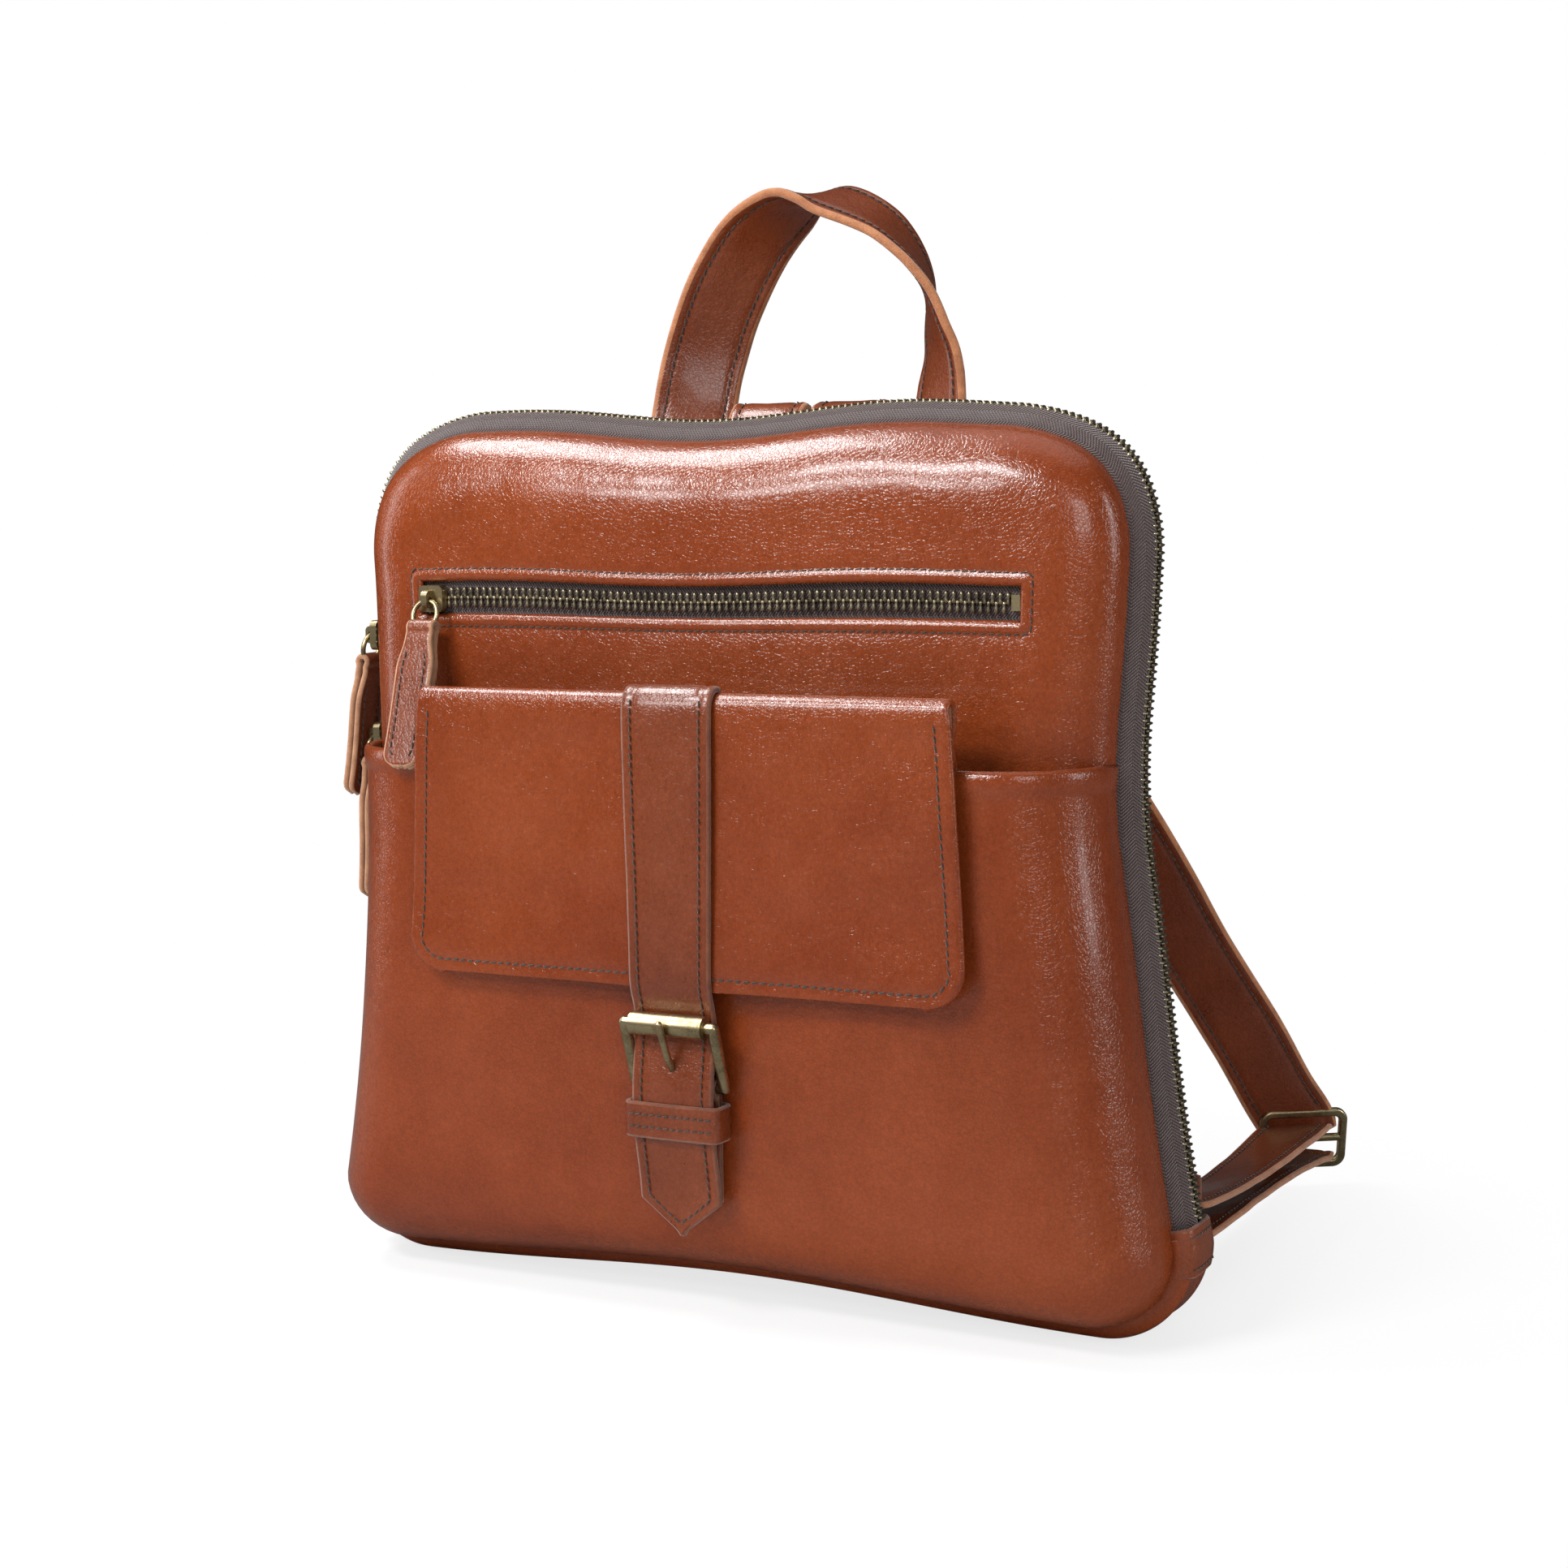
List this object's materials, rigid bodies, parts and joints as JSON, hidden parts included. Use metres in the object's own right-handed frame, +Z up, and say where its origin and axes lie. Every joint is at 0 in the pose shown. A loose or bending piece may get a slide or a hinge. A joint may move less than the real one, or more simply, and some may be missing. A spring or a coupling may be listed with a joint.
{
  "type": "leather backpack",
  "caption": "Leather backpack that opens like a clamshell on a zip round its sides and top, with a strapped flap pocket, a zip pocket, a grab handle and shoulder straps.",
  "frame": {"origin": "middle of the bottom gusset, on the surface the bag stands on, in the plane of the main zip", "axes": "+Z up, -Y towards the front with the flap, +Y towards the wearer's back, +X to the right when the flap is seen from the front"},
  "size_m": [0.3352, 0.2836, 0.3881],
  "materials": {
    "leather": "oiled, soft sheen",
    "suede": "flesh side, matt",
    "brass": "aged",
    "tape": "woven",
    "lining": "woven cotton",
    "padding": "felted",
    "board": "pressed board"
  },
  "bodies": {
    "bag_back": {"back_panel": "leather", "back_padding": "padding", "laptop_sleeve": "lining", "base_gusset": "leather", "base_board": "board", "zip_end_tab_left": "leather", "zip_end_tab_right": "leather", "front_panel_base": "leather", "pocket_panel_base": "leather", "main_tape_back": "tape", "main_teeth_back": "brass", "strap_yoke": "leather", "strap_roots": "leather", "handle_roots": "leather", "anchor_tabs": "leather"},
    "bag_front": {"front_panel": "leather", "pocket_panel": "leather", "front_lining": "lining", "zip_pocket_bag": "lining", "window_tape_upper": "tape", "window_tape_lower": "tape", "window_teeth_upper": "brass", "window_teeth_lower": "brass", "window_stops": "brass", "main_tape_front": "tape", "main_teeth_front": "brass", "flap_backing": "leather", "snap_base": "brass"},
    "flap": {"flap_leather": "leather", "flap_lining": "suede", "flap_strap": "leather", "buckle_chape": "leather", "buckle_frame": "brass", "strap_keeper": "leather", "snap_cap": "brass"},
    "roller": {"buckle_roller": "brass"},
    "prong": {"buckle_prong": "brass"},
    "window_slider": {"front_slider": "brass"},
    "window_ring": {"front_ring": "brass"},
    "window_pull": {"front_pull": "suede"},
    "upper_slider": {"main_slider_upper": "brass"},
    "upper_slider_ring": {"upper_ring": "brass"},
    "upper_slider_pull": {"upper_pull": "suede"},
    "lower_slider": {"main_slider_lower": "brass"},
    "lower_slider_ring": {"lower_ring": "brass"},
    "lower_slider_pull": {"lower_pull": "suede"},
    "handle": {"handle_strap": "leather"},
    "strap_right": {"shoulder_strap_right": "leather", "strap_adjuster_right": "brass", "strap_tail_right": "leather"},
    "strap_left": {"shoulder_strap_left": "leather", "strap_adjuster_left": "brass", "strap_tail_left": "leather"}
  },
  "joints": [
    {"name": "front_open", "type": "hinge", "parent": "bag_back", "child": "bag_front", "pos_m": [0, -0.0439, 0.03], "axis": [1, 0, 0], "range_deg": [0, 75]},
    {"name": "flap_lift", "type": "hinge", "parent": "bag_front", "child": "flap", "pos_m": [0, -0.0471, 0.211], "axis": [-1, 0, 0], "range_deg": [0, 140]},
    {"name": "roller_turn", "type": "hinge", "parent": "flap", "child": "roller", "pos_m": [0, -0.0589, 0.105], "axis": [1, 0, 0], "continuous": true},
    {"name": "prong_lift", "type": "hinge", "parent": "flap", "child": "prong", "pos_m": [0, -0.0518, 0.0834], "axis": [1, 0, 0], "range_deg": [0, 12]},
    {"name": "window_slide", "type": "slide", "parent": "bag_front", "child": "window_slider", "axis": [1, 0, 0], "range_m": [0, 0.22], "deforming": ["front_pull"]},
    {"name": "window_ring_swing", "type": "hinge", "parent": "window_slider", "child": "window_ring", "pos_m": [-0.11, -0.0323, 0.2446], "axis": [-1, 0, 0], "range_deg": [0, 50]},
    {"name": "window_pull_swing", "type": "hinge", "parent": "window_ring", "child": "window_pull", "pos_m": [-0.11, -0.03539, 0.23509], "axis": [-1, 0, 0], "range_deg": [0, 40]},
    {"name": "upper_slide", "type": "slide", "parent": "bag_back", "child": "upper_slider", "axis": [0, 0, 1], "range_m": [-0.003, 0.025]},
    {"name": "upper_ring_swing", "type": "hinge", "parent": "upper_slider", "child": "upper_slider_ring", "pos_m": [-0.1574, 0, 0.23], "axis": [0, 1, 0], "range_deg": [0, 50]},
    {"name": "upper_pull_swing", "type": "hinge", "parent": "upper_slider_ring", "child": "upper_slider_pull", "pos_m": [-0.15888, 0, 0.22011], "axis": [0, 1, 0], "range_deg": [0, 40]},
    {"name": "lower_slide", "type": "slide", "parent": "bag_back", "child": "lower_slider", "axis": [0, 0, 1], "range_m": [-0.02, 0.003]},
    {"name": "lower_ring_swing", "type": "hinge", "parent": "lower_slider", "child": "lower_slider_ring", "pos_m": [-0.1574, 0, 0.192], "axis": [0, 1, 0], "range_deg": [0, 50], "deforming": ["upper_pull"]},
    {"name": "lower_pull_swing", "type": "hinge", "parent": "lower_slider_ring", "child": "lower_slider_pull", "pos_m": [-0.15792, 0, 0.18201], "axis": [0, 1, 0], "range_deg": [0, 40]},
    {"name": "handle_swing", "type": "hinge", "parent": "bag_back", "child": "handle", "pos_m": [0, 0.0468, 0.2905], "axis": [1, 0, 0], "range_deg": [-35, 35], "stiffness_Nm_per_rad": 0.15},
    {"name": "right_strap_swing", "type": "hinge", "parent": "bag_back", "child": "strap_right", "pos_m": [0.018, 0.0468, 0.298], "axis": [0.4105, 0, -0.9119], "range_deg": [0, 15]},
    {"name": "left_strap_swing", "type": "hinge", "parent": "bag_back", "child": "strap_left", "pos_m": [-0.018, 0.0468, 0.298], "axis": [0.4105, 0, 0.9119], "range_deg": [0, 15]}
  ]
}
